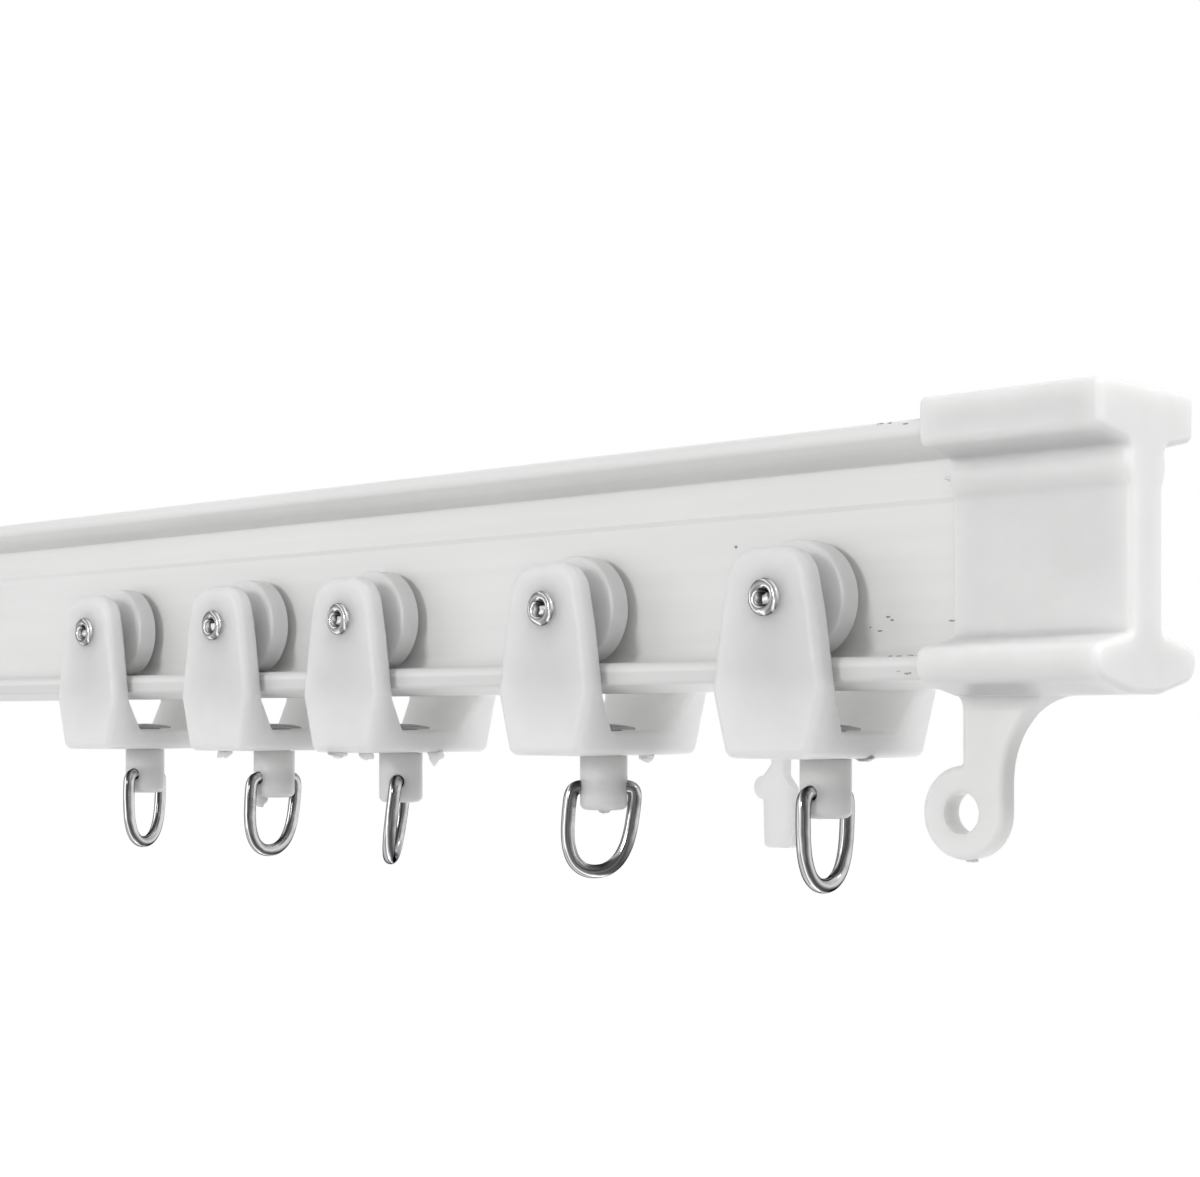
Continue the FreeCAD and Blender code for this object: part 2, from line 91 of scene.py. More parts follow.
# Painted reflection bands of the rivets, as (place, brightness)
RIVET_REFLECTION_BANDS = (
    (0.0, 0.4), (0.1, 0.5), (0.18, 0.9), (0.24, 0.5), (0.3, 2.2), (0.36, 0.5), (0.5, 0.3),
    (0.6, 1.8), (0.66, 0.4), (0.8, 0.9), (0.88, 2.3), (1.0, 0.5),
)
# Painted reflection bands of those bright lumps
BORE_GLINT_BANDS = ((0.0, 0.9), (0.3, 1.2), (0.6, 0.8), (1.0, 1.1))
FLOOR_WHITE = (0.9, 0.9, 0.9)

FLOOR_LEVEL = -0.9

# Plastic skins: gloss, how coarse their patterns are, and the heights of their bumps in metres
PLASTIC_SPECULAR = 0.45
PLASTIC_IOR = 1.5
EVEN = (1.0, 1.0, 1.0)
LINE_STRETCH = (6.0, 900.0, 900.0)
SHEEN_STRETCH = (12.0, 60.0, 60.0)
STREAK_STRETCH = (22.0, 620.0, 620.0)
SHEEN_RANGE = (0.975, 1.02)
LINE_HEIGHT = 0.00004
LINE_STRENGTH = 0.35
FINE_HEIGHT = 0.00001
EXTRUDED_ROUGHNESS = 0.42
EXTRUDED_GRAIN = 2500.0
EXTRUDED_GRAIN_STRENGTH = 0.25
FLOW_GRAIN = 160.0
FLOW_RANGE = (0.97, 1.03)
SWELL_GRAIN = 240.0
SWELL_HEIGHT = 0.00012
SWELL_STRENGTH = 0.25
SKIN_GRAIN = 3200.0
SKIN_STRENGTH = 0.3
GLOW_COLOUR = (1.0, 1.0, 0.97)

# Moulded plastics: roughness and share of milky light
CAP_SKIN = (0.4, 1.0)
CARRIER_SKIN = (0.38, 1.0)
SWIVEL_SKIN = (0.42, 0.5)
ROLLER_SKIN = (0.3, 0.5)

# Steels: roughness, wander of the painted reflection bands, how coarse the wander is, and share of
# metal
RING_FINISH = (0.12, 0.25, 420.0, 1.0)
RIVET_FINISH = (0.18, 0.5, 900.0, 0.8)
BORE_GLINT_FINISH = (0.4, 0.5, 1500.0, 0.6)
STEEL_GRAIN = 2600.0
STEEL_GRAIN_STRENGTH = 0.2

# Dirt: how coarse it is, how much paler it gets and its roughness
DIRT_GRAIN = 3000.0
DIRT_PALER = 4.0
DIRT_ROUGHNESS = 0.8

# Lamps in watts, and the even light round the track
KEY_POWER = 1.05
FILL_POWER = 0.75
SIDE_POWER = 3.3
BACK_POWER = 0.6
UNDER_POWER = 0.25
LOW_POWER = 0.3
EVEN_LIGHT = 0.5

# Every lamp: name, place, the point it is aimed at, size and power
LAMPS = (
    ("key_light", (0.19, -0.6, 0.1), (0.15, 0.0, -0.015), 0.1, KEY_POWER),
    ("fill_light", (-0.25, -0.55, 0.0), (0.05, 0.0, -0.02), 0.5, FILL_POWER),
    ("side_light", (0.75, 0.1, 0.45), (0.22, 0.0, -0.015), 0.2, SIDE_POWER),
    ("back_light", (0.0, 0.5, -0.25), (0.15, 0.0, -0.03), 0.5, BACK_POWER),
    ("under_light", (0.2, 0.08, -0.5), (0.17, 0.0, -0.03), 0.3, UNDER_POWER),
    ("low_light", (0.62, -0.45, -0.17), (0.17, 0.0, -0.03), 0.3, LOW_POWER),
)

# Share of plain white that the floor shows to the camera on top of the light that falls on it
FLOOR_GLOW = 0.7
FLOOR_HALF = 6.0
FLOOR_SEGMENTS = 8
FLOOR_GRAIN = 3.0
FLOOR_SHADE = 0.98
FLOOR_ROUGHNESS = 0.9
SEEN_WHITE = (1.0, 1.0, 1.0, 1.0)

# How far light travels inside the milky plastics
CAP_GLOW_DEPTH = 0.003
CARRIER_GLOW_DEPTH = 0.014

# Rollers in mm: their tread is narrower than the space they turn in, with a long hub outside it
TREAD_WIDTH = 2.5
TREAD_EDGE_RADIUS = 0.3
HUB_RADIUS = 2.3
HUB_EDGE_RADIUS = 0.15
ROLLER_BORE_RADIUS = 1.28
ROLLER_STEPS = 96
CORNER_STEPS = 5

# Wire rings in mm: half of the wire's middle line, as (out, up) from the middle of its foot
WIRE_RADIUS = 0.75
RING_DROP = 9.25
RING_LINE = (
    (0.0, 9.25), (1.4, 9.25), (2.55, 9.25), (3.2, 8.98), (3.5, 8.35), (3.55, 7.2),
    (3.52, 5.9), (3.42, 4.4), (3.1, 2.7), (2.4, 1.2), (1.3, 0.28), (0.0, 0.01),
)
# How far the foot of each ring hangs off along its own width and to its side, in mm
RING_LEANS = ((-0.3, 0.0), (-0.8, 0.0), (0.0, -1.2), (-1.0, 0.0), (-0.2, 0.0))
RING_STEPS = 120
WIRE_STEPS = 20

# Corners of the turned rollers: how far before a corner its bend starts, in corner radii
CORNER_LEAD = 1.25

# Painted highlight, a bright lump inside each tubular rivet's bore standing in for the reflection
# seen there: place from its outer end and half size, in mm
BORE_GLINT_ALONG = 0.2
BORE_GLINT_DEPTH = 0.7
BORE_GLINT_DROP = 0.2
BORE_GLINT_SIZE = (0.56, 0.4, 0.58)

# Painted shade on the outer faces of the rail's lower lips: how much darker, how far out and how
# low it lies, in mm
LIP_SHADE_TONE = 0.86
LIP_SHADE_OUT = 6.3
LIP_SHADE_LEVEL = -22.7
LIP_SHADE_BEFORE = 0.15
LIP_SHADE_PAST = 0.1
LIP_SHADE_FADE = 0.4

# Moulding flash under the bases: carrier, offset along the rail, depth, half length and drop, in mm
BASE_UNDERSIDE = -31.7
BASE_FLASH = (
    (2, -1.75, -6.5, 1.55, 0.9),
    (3, -1.15, -8.6, 1.65, 0.6),
    (3, 2.65, -7.5, 1.25, 0.8),
    (3, 3.9, 2.0, 1.3, 1.3),
    (4, 3.5, 3.0, 1.2, 0.7),
    (5, 4.1, 1.0, 0.95, 0.35),
)

# Gate marks under two posts: carrier, offset along the rail, depth, half length and drop, in mm
POST_UNDERSIDE = -37.7
POST_FLASH = (
    (2, -0.75, -1.5, 1.15, 1.1),
    (4, 0.1, 0.0, 1.0, 0.35),
)

# Flash on the right cap: place and half size in mm
CAP_FLASH = (
    ((231.35, 0.0, -40.95), (0.65, 0.6, 0.4)),
    ((230.95, -2.5, -5.35), (0.85, 0.3, 0.25)),
)

# Small uneven balls: how coarse and how strong their bumps are, and how bumps change with place
LUMP_GRAIN = 1.6
LUMP_UNEVENNESS = 0.5
LUMP_SHIFT = 3.1
FINE_ROUNDS = 3
PLAIN_ROUNDS = 2

# Flash: how far it reaches up into the plastic, and its half size across the rail, in mm
FLASH_ROOT = 0.1
FLASH_HALF_DEPTH = 0.5

# Dirt caught on the rail: place and half size in mm
RAIL_SPECKS = (
    ((203.08, -0.9, -10.12), (0.22, 0.05, 0.16)),
    ((222.31, -0.9, -17.96), (0.3, 0.05, 0.1)),
    ((222.78, -0.9, -18.27), (0.22, 0.05, 0.12)),
    ((221.35, -0.9, -19.29), (0.28, 0.05, 0.09)),
    ((220.2, -0.9, -18.9), (0.12, 0.05, 0.07)),
    ((226.2, -5.82, -21.96), (0.25, 0.1, 0.1)),
    ((227.2, -5.85, -21.98), (0.35, 0.1, 0.1)),
    ((228.5, -5.82, -21.96), (0.4, 0.1, 0.1)),
    ((229.3, -5.86, -22.0), (0.18, 0.1, 0.08)),
    ((228.7, -6.5, -23.6), (0.4, 0.05, 0.1)),
    ((227.6, -6.5, -23.4), (0.2, 0.05, 0.07)),
    ((225.5, -6.4, -0.12), (0.4, 0.08, 0.07)),
    ((226.6, -6.42, -0.15), (0.25, 0.08, 0.06)),
    ((228.4, -6.5, -0.4), (0.3, 0.05, 0.07)),
)
CAP_SPECKS = (
    ((230.9, -2.6, -18.65), (0.35, 0.05, 0.08)),
)


def new_material(name):
    """Empty node material with its output and Principled shader."""
    material = bpy.data.materials.new(name)
    material.use_nodes = True
    tree = material.node_tree
    shader = tree.nodes["Principled BSDF"]
    return material, tree, shader


def add_node(tree, kind, **settings):
    """Add a node and set its plain attributes."""
    node = tree.nodes.new(kind)
    for key, value in settings.items():
        setattr(node, key, value)
    return node


def object_space(tree, stretch):
    """Object coordinates, scaled per axis."""
    coords = add_node(tree, "ShaderNodeTexCoord")
    mapping = add_node(tree, "ShaderNodeMapping")
    mapping.inputs["Scale"].default_value = stretch
    tree.links.new(coords.outputs["Object"], mapping.inputs["Vector"])
    return mapping.outputs["Vector"]


def noise(tree, vector, scale, detail=3.0, roughness=0.5):
    """Noise texture on a vector."""
    node = add_node(tree, "ShaderNodeTexNoise")
    node.inputs["Scale"].default_value = scale
    node.inputs["Detail"].default_value = detail
    node.inputs["Roughness"].default_value = roughness
    tree.links.new(vector, node.inputs["Vector"])
    return node.outputs["Fac"]


def ramp(tree, factor, low, high, low_at=0.3, high_at=0.7):
    """Colour ramp between two colours."""
    node = add_node(tree, "ShaderNodeValToRGB")
    first, second = node.color_ramp.elements
    first.position = low_at
    first.color = (*low, 1.0)
    second.position = high_at
    second.color = (*high, 1.0)
    tree.links.new(factor, node.inputs["Fac"])
    return node.outputs["Color"]


def bump(tree, height, distance, strength=1.0, before=None):
    """Bump from a height, on top of an earlier bump if given."""
    node = add_node(tree, "ShaderNodeBump")
    node.inputs["Strength"].default_value = strength
    node.inputs["Distance"].default_value = distance
    tree.links.new(height, node.inputs["Height"])
    if before is not None:
        tree.links.new(before, node.inputs["Normal"])
    return node.outputs["Normal"]


def tint(colour, factor):
    """The same colour, lighter or darker."""
    return tuple(min(1.0, channel * factor) for channel in colour)


def multiply(tree, first, second):
    """Product of two colours."""
    node = add_node(tree, "ShaderNodeMix", data_type="RGBA", blend_type="MULTIPLY")
    node.inputs[0].default_value = 1.0
    tree.links.new(first, node.inputs[6])
    tree.links.new(second, node.inputs[7])
    return node.outputs[2]


def past(tree, value, start, end):
    """Smooth step from zero at one value to one at another. The values are in metres."""
    node = add_node(tree, "ShaderNodeMapRange", interpolation_type="SMOOTHSTEP")
    node.inputs["From Min"].default_value = start
    node.inputs["From Max"].default_value = end
    tree.links.new(value, node.inputs["Value"])
    return node.outputs["Result"]


def lip_shade_mask(tree):
    """One on the outer faces of the rail's lower lips, where painted shade darkens them."""
    coords = add_node(tree, "ShaderNodeTexCoord")
    axes = add_node(tree, "ShaderNodeSeparateXYZ")
    tree.links.new(coords.outputs["Object"], axes.inputs[0])
    either_side = add_node(tree, "ShaderNodeMath", operation="ABSOLUTE")
    tree.links.new(axes.outputs["Y"], either_side.inputs[0])
    start = (LIP_SHADE_OUT - LIP_SHADE_BEFORE) * MM
    end = (LIP_SHADE_OUT + LIP_SHADE_PAST) * MM
    out = past(tree, either_side.outputs[0], start, end)
    low = past(tree, axes.outputs["Z"], LIP_SHADE_LEVEL * MM, (LIP_SHADE_LEVEL - LIP_SHADE_FADE) * MM)
    both = add_node(tree, "ShaderNodeMath", operation="MULTIPLY")
    tree.links.new(out, both.inputs[0])
    tree.links.new(low, both.inputs[1])
    return both.outputs[0]


def extruded_plastic(name, colour):
    """Satin extruded plastic: fine lines along the rail, a slightly uneven sheen and painted shade
    on the lower lips' outer faces.
    """
    material, tree, shader = new_material(name)
    along = object_space(tree, LINE_STRETCH)
    lines = noise(tree, along, 1.0, 4.0, 0.6)
    broad = noise(tree, object_space(tree, SHEEN_STRETCH), 1.0, 2.0)
    pale = ramp(tree, broad, tint(colour, SHEEN_RANGE[0]), tint(colour, SHEEN_RANGE[1]))
    marks = noise(tree, object_space(tree, STREAK_STRETCH), 1.0, 3.0)
    streaks = ramp(tree, marks, GREY_STREAK, WHITE)
    # Painted shade: the outer faces of the rail's lower lips are darkened.
    lip_shade = ramp(tree, lip_shade_mask(tree), WHITE, tint(WHITE, LIP_SHADE_TONE), 0.0, 1.0)
    paint = multiply(tree, multiply(tree, pale, streaks), lip_shade)
    tree.links.new(paint, shader.inputs["Base Color"])
    first = bump(tree, lines, LINE_HEIGHT, LINE_STRENGTH)
    grain = noise(tree, object_space(tree, EVEN), EXTRUDED_GRAIN, 2.0)
    surface = bump(tree, grain, FINE_HEIGHT, EXTRUDED_GRAIN_STRENGTH, first)
    tree.links.new(surface, shader.inputs["Normal"])
    shader.inputs["Roughness"].default_value = EXTRUDED_ROUGHNESS
    shader.inputs["Specular IOR Level"].default_value = PLASTIC_SPECULAR
    shader.inputs["IOR"].default_value = PLASTIC_IOR
    return material


def moulded_plastic(name, colour, skin, depth):
    """Milky moulded plastic: soft light inside it, faint flow marks and a fine skin."""
    material, tree, shader = new_material(name)
    roughness, milkiness = skin
    flow = noise(tree, object_space(tree, EVEN), FLOW_GRAIN, 3.0)
    paint = ramp(tree, flow, tint(colour, FLOW_RANGE[0]), tint(colour, FLOW_RANGE[1]))
    tree.links.new(paint, shader.inputs["Base Color"])
    swell = noise(tree, object_space(tree, EVEN), SWELL_GRAIN, 2.0)
    fine = noise(tree, object_space(tree, EVEN), SKIN_GRAIN, 2.0)
    first = bump(tree, swell, SWELL_HEIGHT, SWELL_STRENGTH)
    surface = bump(tree, fine, FINE_HEIGHT, SKIN_STRENGTH, first)
    tree.links.new(surface, shader.inputs["Normal"])
    shader.inputs["Roughness"].default_value = roughness
    shader.inputs["Specular IOR Level"].default_value = PLASTIC_SPECULAR
    shader.inputs["IOR"].default_value = PLASTIC_IOR
    shader.inputs["Subsurface Weight"].default_value = milkiness
    shader.inputs["Subsurface Radius"].default_value = GLOW_COLOUR
    shader.inputs["Subsurface Scale"].default_value = depth
    return material


def dull_speck(name, colour):
    """Dark dirt caught on the plastic."""
    material, tree, shader = new_material(name)
    uneven = noise(tree, object_space(tree, EVEN), DIRT_GRAIN, 3.0)
    paint = ramp(tree, uneven, colour, tint(colour, DIRT_PALER))
    tree.links.new(paint, shader.inputs["Base Color"])
    shader.inputs["Roughness"].default_value = DIRT_ROUGHNESS
    return material


def steel_with_painted_reflections(name, colour, bands, finish):
    """Polished steel with painted reflections: dark and bright bands in its colour, set by which
    way the surface faces.
    """
    material, tree, shader = new_material(name)
    roughness, wander, grain, metal = finish
    coords = add_node(tree, "ShaderNodeTexCoord")
    # Painted reflection: how far the surface faces along a fixed axis picks the colour's band.
    across = add_node(tree, "ShaderNodeVectorMath", operation="DOT_PRODUCT")
    across.inputs[1].default_value = PAINTED_REFLECTION_AXIS
    tree.links.new(coords.outputs["Normal"], across.inputs[0])
    slow = noise(tree, object_space(tree, EVEN), grain, 2.0)
    shift = add_node(tree, "ShaderNodeMath", operation="MULTIPLY_ADD")
    shift.inputs[1].default_value = wander
    tree.links.new(slow, shift.inputs[0])
    tree.links.new(across.outputs["Value"], shift.inputs[2])
    place = add_node(tree, "ShaderNodeMapRange")
    place.inputs["From Min"].default_value = -1.0 + wander / 2
    place.inputs["From Max"].default_value = 1.0 + wander / 2
    tree.links.new(shift.outputs[0], place.inputs["Value"])
    tones = add_node(tree, "ShaderNodeValToRGB")
    ends = tones.color_ramp.elements
    for index, (spot, tone) in enumerate(bands):
        stop = ends[index] if index < 2 else ends.new(spot)
        stop.position = spot
        stop.color = (*tint(colour, tone), 1.0)
    tree.links.new(place.outputs["Result"], tones.inputs["Fac"])
    tree.links.new(tones.outputs["Color"], shader.inputs["Base Color"])
    fine = noise(tree, object_space(tree, EVEN), STEEL_GRAIN, 3.0)
    surface = bump(tree, fine, FINE_HEIGHT, STEEL_GRAIN_STRENGTH)
    tree.links.new(surface, shader.inputs["Normal"])
    shader.inputs["Metallic"].default_value = metal
    shader.inputs["Roughness"].default_value = roughness
    shader.inputs["Specular Tint"].default_value = STEEL_EDGE
    return material


def lump(work, place, half_size, rounds):
    """Add one small uneven ball to a mesh. Sizes are in millimetres."""
    ball = bmesh.ops.create_icosphere(work, subdivisions=rounds, radius=1.0)
    offset = Vector(place) * LUMP_SHIFT
    for vertex in ball["verts"]:
        swell = 1.0 + LUMP_UNEVENNESS * bumps.noise(vertex.co * LUMP_GRAIN + offset)
        spot = [p + c * h * swell for p, c, h in zip(place, vertex.co, half_size)]
        vertex.co = Vector(spot) * MM


def lumps(name, body, spots, material, rounds=FINE_ROUNDS):
    """One piece made of small uneven balls that sit on a body and move with it."""
    work = bmesh.new()
    for place, half_size in spots:
        lump(work, place, half_size, rounds)
    mesh = bpy.data.meshes.new(name)
    work.to_mesh(mesh)
    work.free()
    mesh.shade_smooth()
    mesh.materials.append(material)
    piece = bpy.data.objects.new(name, mesh)
    bpy.context.scene.collection.objects.link(piece)
    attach(piece, body)


def middle_x(node):
    """Middle of a node along the rail, in millimetres."""
    low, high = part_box(node)
    return (low[0] + high[0]) / 2 / MM


def flash_spots(table, number, level):
    """Places and half sizes of one carrier's flash, from a table of offsets."""
    x = middle_x(f"carrier_{number}_swivel_eye")
    return [
        (
            (x + along, depth, level + FLASH_ROOT),
            (half_length, FLASH_HALF_DEPTH, drop + FLASH_ROOT),
        )
        for carrier, along, depth, half_length, drop in table
        if carrier == number
    ]


def add_flash(carrier, swivel, cap):
    """Moulding flash and gate marks left on the plastic."""
    for number in range(1, CARRIER_COUNT + 1):
        base = flash_spots(BASE_FLASH, number, BASE_UNDERSIDE)
        post = flash_spots(POST_FLASH, number, POST_UNDERSIDE)
        if base:
            body = f"carrier_{number}"
            lumps(body + "_base_flash", body, base, carrier)
        if post:
            name = f"carrier_{number}_post_flash"
            lumps(name, f"carrier_{number}_eye", post, swivel)
    lumps("cap_flash", "track", CAP_FLASH, cap)


def rounded(corners):
    """Round the corners of a closed (along, radius, corner radius) outline with short arcs."""
    outline = []
    for index, (along, radius, bend) in enumerate(corners):
        here = Vector((along, radius))
        if bend == 0:
            outline.append(here)
            continue
        back = (Vector(corners[index - 1][:2]) - here).normalized()
        ahead = (Vector(corners[(index + 1) % len(corners)][:2]) - here).normalized()
        centre = here + (back + ahead) * bend
        outline.append(here + back * bend * CORNER_LEAD)
        for step in range(CORNER_STEPS + 1):
            angle = math.pi / 2 * step / CORNER_STEPS
            outline.append(centre - ahead * bend * math.cos(angle) - back * bend * math.sin(angle))
        outline.append(here + ahead * bend * CORNER_LEAD)
    return outline


def turned_mesh(name, outline, middle, sign):
    """Turn a closed (along, radius) outline in millimetres about an axle across the rail."""
    work = bmesh.new()
    rings = []
    for step in range(ROLLER_STEPS):
        angle = 2 * math.pi * step / ROLLER_STEPS
        spots = [
            (r * math.cos(angle), sign * along, r * math.sin(angle)) for along, r in outline
        ]
        rings.append([work.verts.new(middle + Vector(spot) * MM) for spot in spots])
    for step, ring in enumerate(rings):
        after = rings[(step + 1) % ROLLER_STEPS]
        for index in range(len(outline)):
            work.faces.new((ring[index - 1], ring[index], after[index], after[index - 1]))
    bmesh.ops.recalc_face_normals(work, faces=work.faces)
    mesh = bpy.data.meshes.new(name)
    work.to_mesh(mesh)
    work.free()
    mesh.shade_smooth()
    return mesh


def add_roller(number, side, material):
    """Moulded wheel with a narrow tread, a flat face and a long hub towards the cheek."""
    node = f"carrier_{number}_{side}_roller"
    low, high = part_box(node)
    sign = -1 if side == "front" else 1
    reach = sorted((abs(low[1]) / MM, abs(high[1]) / MM))
    radius = (high[2] - low[2]) / 2 / MM
    face = reach[0] + TREAD_WIDTH
    outline = rounded([
        (reach[0], ROLLER_BORE_RADIUS, 0),
        (reach[0], radius, TREAD_EDGE_RADIUS / 2),
        (face, radius, TREAD_EDGE_RADIUS),
        (face, HUB_RADIUS, HUB_EDGE_RADIUS),
        (reach[1], HUB_RADIUS, HUB_EDGE_RADIUS),
        (reach[1], ROLLER_BORE_RADIUS, 0),
    ])
    middle = Vector(((low[0] + high[0]) / 2, 0.0, (low[2] + high[2]) / 2))
    mesh = turned_mesh(node + "_wheel", outline, middle, sign)
    mesh.materials.append(material)
    wheel = bpy.data.objects.new(node + "_wheel", mesh)
    bpy.context.scene.collection.objects.link(wheel)
    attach(wheel, f"carrier_{number}_{side}_wheel")
    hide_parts(node)


def add_bore_glint(number, side, material):
    """Bright lump inside the outer end of a tubular rivet's bore: a painted highlight standing in
    for the reflection seen there.
    """
    node = f"carrier_{number}_{side}_rivet"
    low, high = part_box(node)
    sign = -1 if side == "front" else 1
    end = max(abs(low[1]), abs(high[1])) / MM
    level = (low[2] + high[2]) / 2 / MM
    place = (middle_x(node) + BORE_GLINT_ALONG, sign * (end - BORE_GLINT_DEPTH), level - BORE_GLINT_DROP)
    lumps(node + "_bore_glint", f"carrier_{number}", [(place, BORE_GLINT_SIZE)], material)


def smooth_loop(points, count):
    """Evenly many points along a closed curve that passes through the given ones."""
    total = len(points)
    loop = []
    for step in range(count):
        place = step * total / count
        index = int(place)
        share = place - index
        a, b, c, d = (points[(index + shift) % total] for shift in (-1, 0, 1, 2))
        bend = (b - c) * 1.5 + (d - a) * 0.5
        pull = a - b * 2.5 + c * 2 - d * 0.5
        loop.append(b + ((bend * share + pull) * share + (c - a) * 0.5) * share)
    return loop


def tube_mesh(name, loop, side):
    """Round wire along a closed curve that lies nearly flat, square to the side direction."""
    work = bmesh.new()
    rings = []
    for index, spot in enumerate(loop):
        ahead = (loop[(index + 1) % len(loop)] - loop[index - 1]).normalized()
        out = ahead.cross(side).normalized()
        across = out.cross(ahead)
        ring = []
        for step in range(WIRE_STEPS):
            angle = 2 * math.pi * step / WIRE_STEPS
            offset = out * math.cos(angle) + across * math.sin(angle)
            ring.append(work.verts.new(spot + offset * WIRE_RADIUS * MM))
        rings.append(ring)
    for index, ring in enumerate(rings):
        after = rings[(index + 1) % len(rings)]
        for step in range(WIRE_STEPS):
            work.faces.new((ring[step - 1], ring[step], after[step], after[step - 1]))
    bmesh.ops.recalc_face_normals(work, faces=work.faces)
    mesh = bpy.data.meshes.new(name)
    work.to_mesh(mesh)
    work.free()
    mesh.shade_smooth()
    return mesh


def add_ring(number, joint, material):
    """Bent wire ring through a post, whose ends meet inside the post's hole."""
    width = Vector(joint["axis"]).normalized()
    up = Vector((0.0, 0.0, 1.0))
    side = width.cross(up)
    foot = Vector(joint["pos_m"]) - up * RING_DROP * MM
    lean, swing = RING_LEANS[number - 1]
    flat = list(RING_LINE) + [(-out, rise) for out, rise in reversed(RING_LINE[1:-1])]
    points = []
    for out, rise in flat:
        share = 1 - rise / RING_DROP
        spot = width * (out + lean * share) + side * swing * share + up * rise
        points.append(foot + spot * MM)
    node = f"carrier_{number}_ring"
    mesh = tube_mesh(node + "_wire", smooth_loop(points, RING_STEPS), side)
    mesh.materials.append(material)
    wire = bpy.data.objects.new(node + "_wire", mesh)
    bpy.context.scene.collection.objects.link(wire)
    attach(wire, f"carrier_{number}_drop_ring")
    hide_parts(node)


def add_rings(material):
    """Every ring, hung on its swing joint."""
    joints = {joint["name"]: joint for joint in frame["record"]["behaviour"]["joints"]}
    for number in range(1, CARRIER_COUNT + 1):
        add_ring(number, joints[f"carrier_{number}_swing"], material)


def add_wheels(roller, bore_glint_material):
    """Every roller, and the bright lump in its rivet that paints a highlight."""
    for number in range(1, CARRIER_COUNT + 1):
        for side in ("front", "back"):
            add_roller(number, side, roller)
            add_bore_glint(number, side, bore_glint_material)


def add_specks():
    """Dark dirt on the rail and the right cap."""
    dirt = dull_speck("dirt", SPECK_GREY)
    lumps("rail_specks", "track", RAIL_SPECKS, dirt, PLAIN_ROUNDS)
    lumps("cap_specks", "track", CAP_SPECKS, dirt, PLAIN_ROUNDS)


def dress_nodes():
    """Give every CAD node its finished material."""
    rail = extruded_plastic("rail_plastic", RAIL_WHITE)
    cap = moulded_plastic("cap_plastic", CAP_WHITE, CAP_SKIN, CAP_GLOW_DEPTH)
    carrier = moulded_plastic("carrier_plastic", CARRIER_WHITE, CARRIER_SKIN, CARRIER_GLOW_DEPTH)
    # Painted shade: the swivel eyes take a darker white than the carriers.
    swivel = moulded_plastic("swivel_plastic", SWIVEL_SHADED_WHITE, SWIVEL_SKIN, CARRIER_GLOW_DEPTH)
    roller = moulded_plastic("roller_plastic", ROLLER_WHITE, ROLLER_SKIN, CARRIER_GLOW_DEPTH)
    # The steels' colours carry painted reflections.
    ring = steel_with_painted_reflections("ring_steel", RING_STEEL, RING_REFLECTION_BANDS, RING_FINISH)
    rivet = steel_with_painted_reflections("rivet_steel", RIVET_STEEL, RIVET_REFLECTION_BANDS, RIVET_FINISH)
    # Bright steel for the lumps that paint a highlight in the rivets' bores
    bore_glint_material = steel_with_painted_reflections("bore_glint_steel", BORE_GLINT_STEEL, BORE_GLINT_BANDS, BORE_GLINT_FINISH)
    finishes = {"rail": rail, "end_cap_right": cap, "end_cap_left": cap}
    for number in range(1, CARRIER_COUNT + 1):
        name = f"carrier_{number}_"
        finishes[name + "frame"] = carrier
        finishes[name + "swivel_eye"] = swivel
        finishes[name + "front_roller"] = roller
        finishes[name + "back_roller"] = roller
        finishes[name + "front_rivet"] = rivet
        finishes[name + "back_rivet"] = rivet
        finishes[name + "ring"] = ring
    for node, material in finishes.items():
        mesh = frame["nodes"][node].data
        mesh.materials.clear()
        mesh.materials.append(material)
    add_wheels(roller, bore_glint_material)
    add_rings(ring)
    add_flash(carrier, swivel, cap)
    add_specks()


def area_light(name, place, target, size, power):
    """Soft square lamp aimed at a point."""
    data = bpy.data.lights.new(name, "AREA")
    data.shape = "SQUARE"
    data.size = size
    data.energy = power
    lamp = bpy.data.objects.new(name, data)
    bpy.context.scene.collection.objects.link(lamp)
    lamp.location = place
    lamp.rotation_euler = (Vector(target) - Vector(place)).to_track_quat("-Z", "Y").to_euler()


def light_scene():
    """Key in front, fill on the left, a high lamp on the right, and three low ones for the glow."""
    for name, place, target, size, power in LAMPS:
        area_light(name, place, target, size, power)


def seen_directly(tree):
    """One where the camera, gloss or clear material looks straight at a surface, else zero."""
    path = add_node(tree, "ShaderNodeLightPath")
    camera_or_gloss = add_node(tree, "ShaderNodeMath", operation="MAXIMUM")
    any_look = add_node(tree, "ShaderNodeMath", operation="MAXIMUM")
    tree.links.new(path.outputs["Is Camera Ray"], camera_or_gloss.inputs[0])
    tree.links.new(path.outputs["Is Glossy Ray"], camera_or_gloss.inputs[1])
    tree.links.new(camera_or_gloss.outputs[0], any_look.inputs[0])
    tree.links.new(path.outputs["Is Transmission Ray"], any_look.inputs[1])
    return any_look.outputs[0]


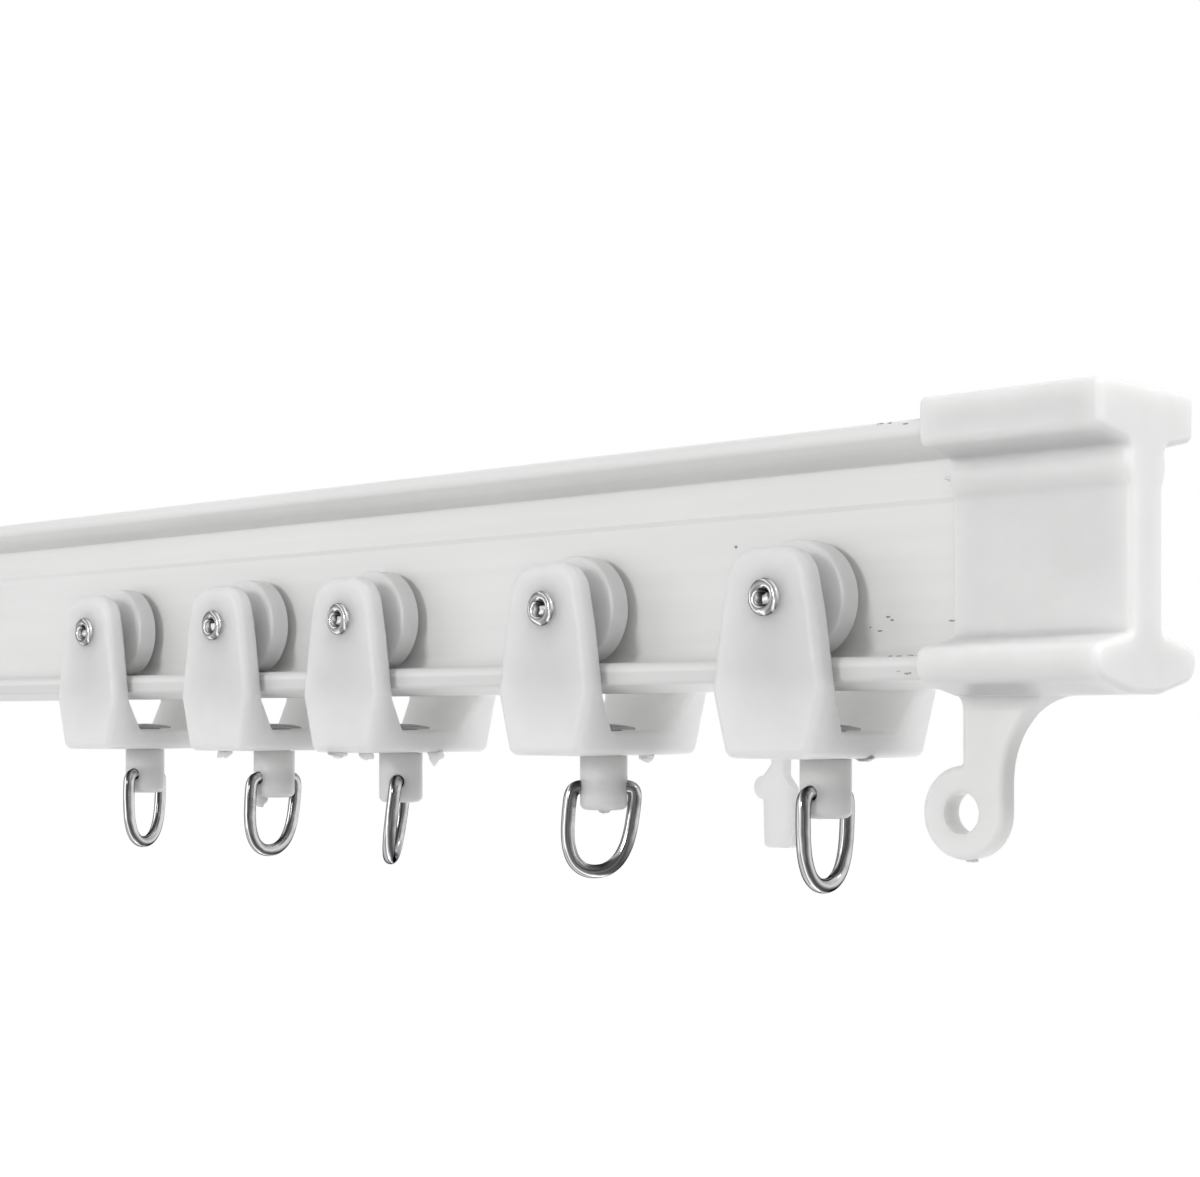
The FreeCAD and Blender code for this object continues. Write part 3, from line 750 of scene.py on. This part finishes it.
def pale_floor():
    """Wide pale floor far below the track that shows white and still takes its shadow."""
    work = bmesh.new()
    bmesh.ops.create_grid(
        work, x_segments=FLOOR_SEGMENTS, y_segments=FLOOR_SEGMENTS, size=FLOOR_HALF
    )
    mesh = bpy.data.meshes.new("floor")
    work.to_mesh(mesh)
    work.free()
    floor = bpy.data.objects.new("floor", mesh)
    floor.location = (0.0, 0.0, FLOOR_LEVEL)
    bpy.context.scene.collection.objects.link(floor)
    material, tree, shader = new_material("pale_floor")
    mesh.materials.append(material)
    uneven = noise(tree, object_space(tree, EVEN), FLOOR_GRAIN)
    paint = ramp(tree, uneven, tint(FLOOR_WHITE, FLOOR_SHADE), FLOOR_WHITE)
    tree.links.new(paint, shader.inputs["Base Color"])
    shader.inputs["Roughness"].default_value = FLOOR_ROUGHNESS
    shader.inputs["Emission Color"].default_value = SEEN_WHITE
    glow = add_node(tree, "ShaderNodeMath", operation="MULTIPLY")
    glow.inputs[1].default_value = FLOOR_GLOW
    tree.links.new(seen_directly(tree), glow.inputs[0])
    tree.links.new(glow.outputs[0], shader.inputs["Emission Strength"])


def white_world():
    """Even grey light, seen as plain white by the camera and in gloss."""
    world = bpy.data.worlds.new("studio")
    bpy.context.scene.world = world
    world.use_nodes = True
    tree = world.node_tree
    tree.nodes.clear()
    output = add_node(tree, "ShaderNodeOutputWorld")
    even = add_node(tree, "ShaderNodeBackground")
    even.inputs["Color"].default_value = SEEN_WHITE
    even.inputs["Strength"].default_value = EVEN_LIGHT
    seen = add_node(tree, "ShaderNodeBackground")
    seen.inputs["Color"].default_value = SEEN_WHITE
    seen.inputs["Strength"].default_value = 1.0
    mix = add_node(tree, "ShaderNodeMixShader")
    tree.links.new(seen_directly(tree), mix.inputs["Fac"])
    tree.links.new(even.outputs[0], mix.inputs[1])
    tree.links.new(seen.outputs[0], mix.inputs[2])
    tree.links.new(mix.outputs[0], output.inputs["Surface"])


def make_camera():
    """Camera at the photograph's place, level, with its frame shifted up."""
    data = bpy.data.cameras.new("camera")
    data.sensor_width = SENSOR_WIDTH
    data.lens = SENSOR_WIDTH * FOCAL_PIXELS / PHOTO_WIDTH
    data.shift_x = (PHOTO_WIDTH / 2 - PRINCIPAL_X) / PHOTO_WIDTH
    data.shift_y = (PRINCIPAL_Y - PHOTO_HEIGHT / 2) / PHOTO_WIDTH
    data.clip_start = NEAR_CLIP
    data.clip_end = FAR_CLIP
    camera = bpy.data.objects.new("camera", data)
    bpy.context.scene.collection.objects.link(camera)
    camera.location = CAMERA_PLACE
    camera.rotation_euler = (math.radians(90), 0.0, math.radians(CAMERA_YAW))
    bpy.context.scene.camera = camera


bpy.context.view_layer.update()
bpy.context.scene.view_settings.view_transform = "Standard"
dress_nodes()
white_world()
pale_floor()
light_scene()
make_camera()
